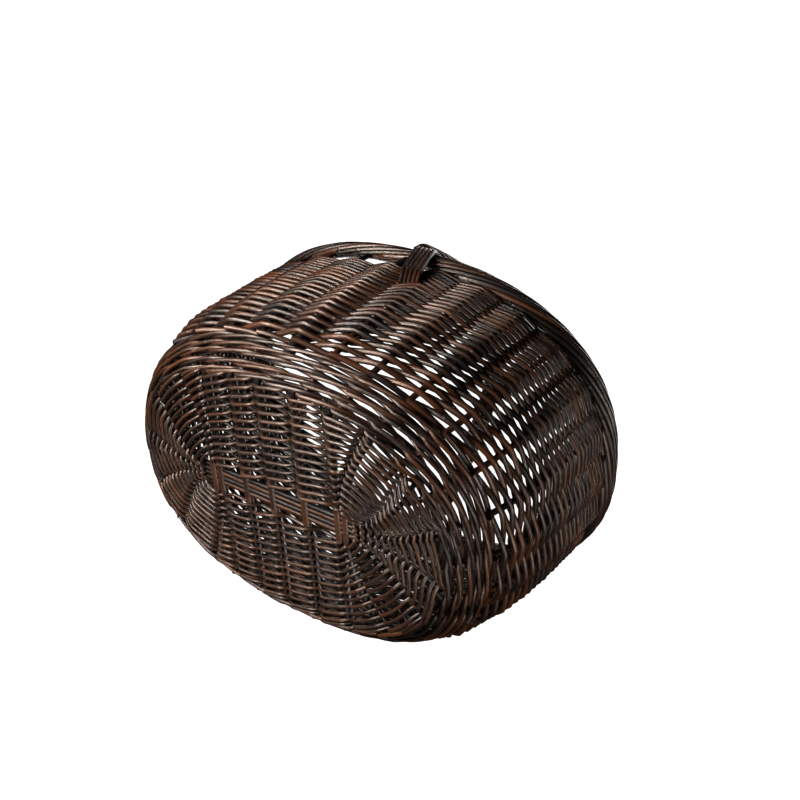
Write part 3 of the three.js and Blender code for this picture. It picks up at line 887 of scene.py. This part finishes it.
class BasketSizes(bpy.types.PropertyGroup):
    """Counts and thicknesses of the basket's rods."""

    stake_places: count_property("Stake places", "Stakes and bow legs round the rim", 28, 8)
    stake: length_property("Stake", "Thickness of a stake", 5.2)
    wale_rod: length_property("Wale rod", "Thickness of a rod in the foot wale", 4.0)
    side_butt: length_property("Side rod butt", "Thick end of a side rod", 5.2)
    side_tip: length_property("Side rod tip", "Thin end of a side rod", 2.9)
    side_strokes: count_property("Side strokes", "Stakes that one side rod passes", 41, 4)
    base_rod: length_property("Base rod", "Thickness of a rod in the base", 3.3)
    base_rounds: number_property("Base rounds", "Rounds of pairing from the sticks to the edge", 12.7, 1.0)
    border_rods: count_property("Border rods", "Rods rolled into the border", 42, 8)
    border_butt: length_property("Border butt", "Thick end of a border rod", 5.8)
    border_tip: length_property("Border tip", "Thin end of a border rod", 4.3)
    border_lay: number_property("Border lay", "Stake places that a border rod takes for one turn", 6.0, 2.0)
    rope_rods: count_property("Rope rods", "Rods wound round the bow", 10, 4)
    rope_turns: number_property("Rope turns", "Turns that a rod makes from foot to foot", 3.0)
    tie_rods: count_property("Tie rods", "Rods in each band that ties the rope down", 5, 1)


class BasketLook(bpy.types.PropertyGroup):
    """Colours and shine of the stained willow."""

    deep: colour_property("Deep stain", "Where the stain is darkest", (0.0025, 0.002, 0.002))
    warm: colour_property("Warm stain", "Where the willow shows through the stain", (0.1, 0.031, 0.009))
    rubbed: colour_property("Rubbed", "Where handling has rubbed the stain thin", (0.12, 0.06, 0.036))
    cool: colour_property("Cool stain", "Rods that took the stain blue-black", (0.012, 0.013, 0.016))
    sheen: colour_property("Sheen", "Colour of the satin reflection", (1.0, 0.85, 0.74))
    shine: bpy.props.FloatProperty(
        name="Shine",
        description="Strength of the satin reflection",
        default=0.9,
        min=0.0,
        max=1.0,
        subtype="FACTOR",
    )


class BasketStage(bpy.types.PropertyGroup):
    """Floor and light."""

    floor: colour_property("Floor", "Colour of the floor", (0.86, 0.86, 0.85))
    key: power_property("Key light", "Power of the main light", 10.5)
    near: power_property("Near fill", "Power of the fill on the camera's side", 12.0)
    top: power_property("Top light", "Power of the light overhead", 18.0)
    back: power_property("Back fill", "Power of the light behind", 9.0)
    sky: number_property("Room light", "Even light from all round", 0.008)


def sizes():
    """The basket's sizes in the current scene."""
    return bpy.context.scene.basket_sizes


class BASKET_OT_base_sticks(bpy.types.Operator):
    """Lays the pierced cross sticks and the long sticks through them"""

    bl_idname = "basket.base_sticks"
    bl_label = "Base Sticks"

    def execute(self, context):
        ribs = base_ribs(STICK_EDGE)
        weave_piece(
            "base_cross_sticks",
            guide_lines("cross_stick_guide", whole_sticks(ribs["front"], ribs["back"])),
            stick_plan(),
            {
                # The cross sticks' higher lightness is painted light, standing in for the highlight that
                # the key light leaves off them.
                "Finish": willow("cross_stick_willow", lightness=0.4, rub=0.7),
                "Thickness": CROSS_STICK_WIDTH,
            },
            named("base_cross_stick", CROSS_STICKS),
        )
        weave_piece(
            "base_long_sticks",
            guide_lines("long_stick_guide", whole_sticks(ribs["left"], ribs["right"])),
            stick_plan(),
            {
                "Finish": willow("long_stick_willow", lightness=0.12, rub=0.1, shine=0.35),
                "Thickness": LONG_STICK_PITCH,
                "Taper": 0.1,
                "Bare share": 0.5,
                "Height to width": 1.0,
                "Seed": 23,
            },
            named("base_long_stick", LONG_STICKS),
        )
        return {"FINISHED"}


class BASKET_OT_base_weave(bpy.types.Operator):
    """Weaves pairs of rods round the base sticks"""

    bl_idname = "basket.base_weave"
    bl_label = "Base Weave"

    def execute(self, context):
        ribs = rib_ring(WEAVE_EDGE)
        weave_piece(
            "base_weave_rods",
            guide_lines("rib_guide", ribs),
            pairing_plan(),
            {
                "Finish": willow("base_willow", lightness=0.14, rub=0.65),
                "Ribs": len(ribs),
                "Rounds": sizes().base_rounds,
                "Thickness": sizes().base_rod,
            },
            ["base_weave"],
        )
        return {"FINISHED"}


class BASKET_OT_stakes(bpy.types.Operator):
    """Sets the upright stakes into the base"""

    bl_idname = "basket.stakes"
    bl_label = "Stakes"

    def execute(self, context):
        weave_piece(
            "stakes",
            wall_guide(),
            stake_plan(),
            {
                "Finish": willow("stake_willow", lightness=0.1, rub=0.2),
                "Places": sizes().stake_places,
                "Thickness": sizes().stake,
                "Top": STAKE_TOP,
            },
            named("stake", sizes().stake_places - 2, digits=2),
        )
        return {"FINISHED"}


class BASKET_OT_foot_wale(bpy.types.Operator):
    """Works the two bands of wale that turn the base up into the side"""

    bl_idname = "basket.foot_wale"
    bl_label = "Foot Wale"

    def execute(self, context):
        finish = willow("wale_willow", lightness=0.32, rub=0.3)
        for number, rounds, low, high in WALE_BANDS:
            weave_piece(
                f"foot_wale_rods_{number}",
                wall_guide(),
                wale_plan(),
                {
                    "Finish": finish,
                    "Places": sizes().stake_places,
                    "Rounds": rounds,
                    "Thickness": sizes().wale_rod,
                    "Stake": sizes().stake,
                    "Low": low,
                    "High": high,
                    "First place": WALE_FIRST_PLACE,
                    "Seed": number,
                },
                [f"foot_wale_{number}"],
            )
        return {"FINISHED"}


class BASKET_OT_side_weave(bpy.types.Operator):
    """Weaves a tapering rod from every stake place up the side"""

    bl_idname = "basket.side_weave"
    bl_label = "Side Weave"

    def execute(self, context):
        weave_piece(
            "side_weave_rods",
            wall_guide(),
            side_plan(),
            {
                "Finish": willow("side_willow", lightness=0.36, rub=0.25),
                "Places": sizes().stake_places,
                "Strokes": float(sizes().side_strokes),
                "Butt": sizes().side_butt,
                "Tip": sizes().side_tip,
                "Stake": sizes().stake,
                "Bow": 2 * BOW_RADIUS,
                "Low": SIDE_START,
                "High": SIDE_TOP,
            },
            named("side_weave", SIDE_BANDS),
        )
        return {"FINISHED"}


class BASKET_OT_border(bpy.types.Operator):
    """Rolls rods along the rim into the border"""

    bl_idname = "basket.border"
    bl_label = "Border"

    def execute(self, context):
        weave_piece(
            "border_rods",
            wall_guide(),
            border_plan(),
            {
                # The border's low lightness is painted shade, darkening rods that the fill light brightens.
                "Finish": willow("border_willow", lightness=0.2, rub=0.2),
                "Places": sizes().stake_places,
                "Rods": sizes().border_rods,
                "Places in a turn": sizes().border_lay,
                "Butt": sizes().border_butt,
                "Tip": sizes().border_tip,
            },
            ["border"],
        )
        return {"FINISHED"}


def leg_line(way):
    """The middle of one leg of the bow inside the wall, from its lower end to the border."""
    line = []
    profile = wall_line()
    for low, high in zip(profile, profile[1:]):
        climb = (high - low).normalized()
        grow = low.x - climb.z * WALL_HALF
        height = low.z + climb.x * WALL_HALF
        if LEG_LOW < height < BORDER_LOW.z:
            line.append(Vector((0.0, way * (BASE_HALF_WIDTH + grow), height)))
    return line


class BASKET_OT_handle(bpy.types.Operator):
    """Bends the bow and winds its rods round it"""

    bl_idname = "basket.handle"
    bl_label = "Bow Handle"

    def execute(self, context):
        finish = willow("handle_willow", lightness=0.26, rub=0.5)
        bow = leg_line(-1) + arch_line() + leg_line(1)[::-1]
        weave_piece(
            "bow",
            guide_lines("bow_guide", [bow]),
            bow_plan(),
            {"Finish": finish},
            ["bow_handle"],
        )
        weave_piece(
            "handle_rope_rods",
            guide_lines("arch_guide", [arch_line()]),
            rope_plan(),
            {"Finish": finish, "Rods": sizes().rope_rods, "Turns": sizes().rope_turns},
            ["handle_rope"],
        )
        return {"FINISHED"}


def smooth(line, rounds=3):
    """The line with its corners cut, more with each round."""
    for _ in range(rounds):
        cut = [line[0]]
        for a, b in zip(line, line[1:]):
            cut += [a * 0.75 + b * 0.25, a * 0.25 + b * 0.75]
        line = cut + [line[-1]]
    return line


def tie_line(way):
    """The middle of a tie: beside the rope, over the border's edge, down its face and into the weave."""
    face = ARCH_HALF + BORDER_WIDTH / 2
    foot = TIE_HIGH.x - TIE_FOOT_INSET
    line = [
        Vector((0.009, -ARCH_HALF + 0.004, WALL_HEIGHT - 0.001)),
        Vector((0.0085, -ARCH_HALF - 0.003, WALL_HEIGHT + 0.001)),
        Vector((0.0085, -face + 0.0012, WALL_HEIGHT - 0.001)),
        Vector((0.0095, -face - 0.0014, WALL_HEIGHT - 0.005)),
        Vector((0.0135, -face - 0.0018, WALL_HEIGHT - 0.014)),
        Vector((foot * 0.68, -face - 0.0018, WALL_HEIGHT - 0.036)),
        Vector((foot * 0.93, -face - 0.0016, TIE_LOW.z + 0.011)),
        Vector((foot + 0.001, -face + 0.005, TIE_LOW.z + 0.002)),
    ]
    turn = Matrix.Rotation(math.pi if way > 0 else 0.0, 3, "Z")
    return [turn @ point for point in smooth(line)]


class BASKET_OT_rope_ties(bpy.types.Operator):
    """Ties the rope down over the border with a flat band of rods at each foot"""

    bl_idname = "basket.rope_ties"
    bl_label = "Rope Ties"

    def execute(self, context):
        finish = willow("tie_willow", lightness=0.3, rub=0.5)
        for name, way in (("front", -1), ("back", 1)):
            weave_piece(
                f"rope_tie_{name}_rods",
                guide_lines("tie_guide", [tie_line(way)]),
                tie_plan(),
                {"Finish": finish, "Rods": sizes().tie_rods, "Seed": 19 + way},
                [f"rope_tie_{name}"],
            )
        return {"FINISHED"}


def area_light(name, direction, distance, size, power):
    """A soft square light that faces the middle of the basket."""
    lamp = bpy.data.lights.new(name, "AREA")
    lamp.energy = power
    lamp.size = size
    light = bpy.data.objects.new(name, lamp)
    middle = Vector((0.0, 0.0, WALL_HEIGHT / 2))
    light.location = middle + Vector(direction).normalized() * distance
    light.rotation_euler = (light.location - middle).to_track_quat("Z", "Y").to_euler()
    bpy.context.scene.collection.objects.link(light)


def floor_finish(colour):
    """A pale floor that fades into the white room and is only there when seen from above."""
    material = bpy.data.materials.new("pale_floor")
    material.use_nodes = True
    plan = Plan(material.node_tree)
    nodes = material.node_tree.nodes
    surface = nodes["Principled BSDF"]
    place = plan.get("ShaderNodeTexCoord", output="Object")
    cloud = plan.noise(place, 0.8) * 0.02
    plan.feed(surface.inputs["Base Color"], plan.mix(cloud + 0.5, colour, FLOOR_CLOUD))
    surface.inputs["Roughness"].default_value = 0.8
    below = plan.get("ShaderNodeNewGeometry", output="Backfacing")
    distance = plan.get("ShaderNodeVectorMath", {0: place}, output="Value", operation="LENGTH")
    fade = plan.clamp((distance - FADE_START) / FADE_WIDTH)
    clear = plan.get("ShaderNodeBsdfTransparent")
    hidden = plan.math("MAXIMUM", below, fade)
    seen = plan.get("ShaderNodeMixShader", {0: hidden, 1: Field(plan, surface.outputs[0]), 2: clear})
    plan.feed(nodes["Material Output"].inputs["Surface"], seen)
    return material


class BASKET_OT_stage(bpy.types.Operator):
    """Sets up the floor, the light and the camera"""

    bl_idname = "basket.stage"
    bl_label = "Stage"

    def execute(self, context):
        scene = context.scene
        stage = scene.basket_stage
        mesh = bpy.data.meshes.new("floor")
        sides = ((-1, -1), (1, -1), (1, 1), (-1, 1))
        corners = [(x * FLOOR_HALF, y * FLOOR_HALF, 0.0) for x, y in sides]
        mesh.from_pydata(corners, [], [(0, 1, 2, 3)])
        mesh.materials.append(floor_finish(tuple(stage.floor)))
        floor = bpy.data.objects.new("floor", mesh)
        scene.collection.objects.link(floor)
        # The light from beneath has to reach the underside, so the floor stops none of it.
        floor.visible_shadow = False
        floor.visible_diffuse = False
        floor.visible_glossy = False

        world = bpy.data.worlds.new("white_room")
        scene.world = world
        world.use_nodes = True
        plan = Plan(world.node_tree)
        seen = plan.get("ShaderNodeLightPath", output="Is Camera Ray")
        background = world.node_tree.nodes["Background"]
        background.inputs["Color"].default_value = WHITE
        plan.feed(background.inputs["Strength"], seen * (1.0 - stage.sky) + stage.sky)

        for name, setting, direction, distance, size in LIGHTS:
            area_light(name, direction, distance, size, getattr(stage, setting))

        lens = bpy.data.cameras.new("photo_camera")
        lens.lens = CAMERA_LENS
        lens.sensor_width = CAMERA_SENSOR
        camera = bpy.data.objects.new("photo_camera", lens)
        toward = (CAMERA_AIM - CAMERA_PLACE).normalized()
        right = toward.cross(CAMERA_UP).normalized()
        turn = Matrix((right, right.cross(toward), -toward)).transposed()
        camera.matrix_world = Matrix.Translation(CAMERA_PLACE) @ turn.to_4x4()
        scene.collection.objects.link(camera)
        scene.camera = camera
        scene.view_settings.view_transform = "Standard"
        scene.view_settings.exposure = VIEW_EXPOSURE
        scene.view_settings.gamma = VIEW_GAMMA
        return {"FINISHED"}


OPERATORS = (
    BASKET_OT_base_sticks,
    BASKET_OT_base_weave,
    BASKET_OT_stakes,
    BASKET_OT_foot_wale,
    BASKET_OT_side_weave,
    BASKET_OT_border,
    BASKET_OT_handle,
    BASKET_OT_rope_ties,
    BASKET_OT_stage,
)


class BASKET_PT_panel(bpy.types.Panel):
    """The basket's sizes, its finish and the steps that make it"""

    bl_idname = "BASKET_PT_panel"
    bl_label = "Willow Basket"
    bl_space_type = "VIEW_3D"
    bl_region_type = "UI"
    bl_category = "Basket"

    def draw(self, context):
        for name, group in GROUPS.items():
            box = self.layout.box()
            for setting in group.__annotations__:
                box.prop(getattr(context.scene, name), setting)
        for operator in OPERATORS:
            self.layout.operator(operator.bl_idname)


GROUPS = {"basket_sizes": BasketSizes, "basket_look": BasketLook, "basket_stage": BasketStage}


def register():
    """Registers the settings, the operators and the panel."""
    for name, group in GROUPS.items():
        bpy.utils.register_class(group)
        setattr(bpy.types.Scene, name, bpy.props.PointerProperty(type=group))
    for cls in (*OPERATORS, BASKET_PT_panel):
        bpy.utils.register_class(cls)


def unregister():
    """Takes back what register added."""
    for cls in (BASKET_PT_panel, *reversed(OPERATORS)):
        bpy.utils.unregister_class(cls)
    for name, group in reversed(list(GROUPS.items())):
        delattr(bpy.types.Scene, name)
        bpy.utils.unregister_class(group)


def main():
    """Builds the basket and its stage."""
    register()
    for operator in OPERATORS:
        group, name = operator.bl_idname.split(".")
        getattr(getattr(bpy.ops, group), name)()


if __name__ == "__main__":
    main()
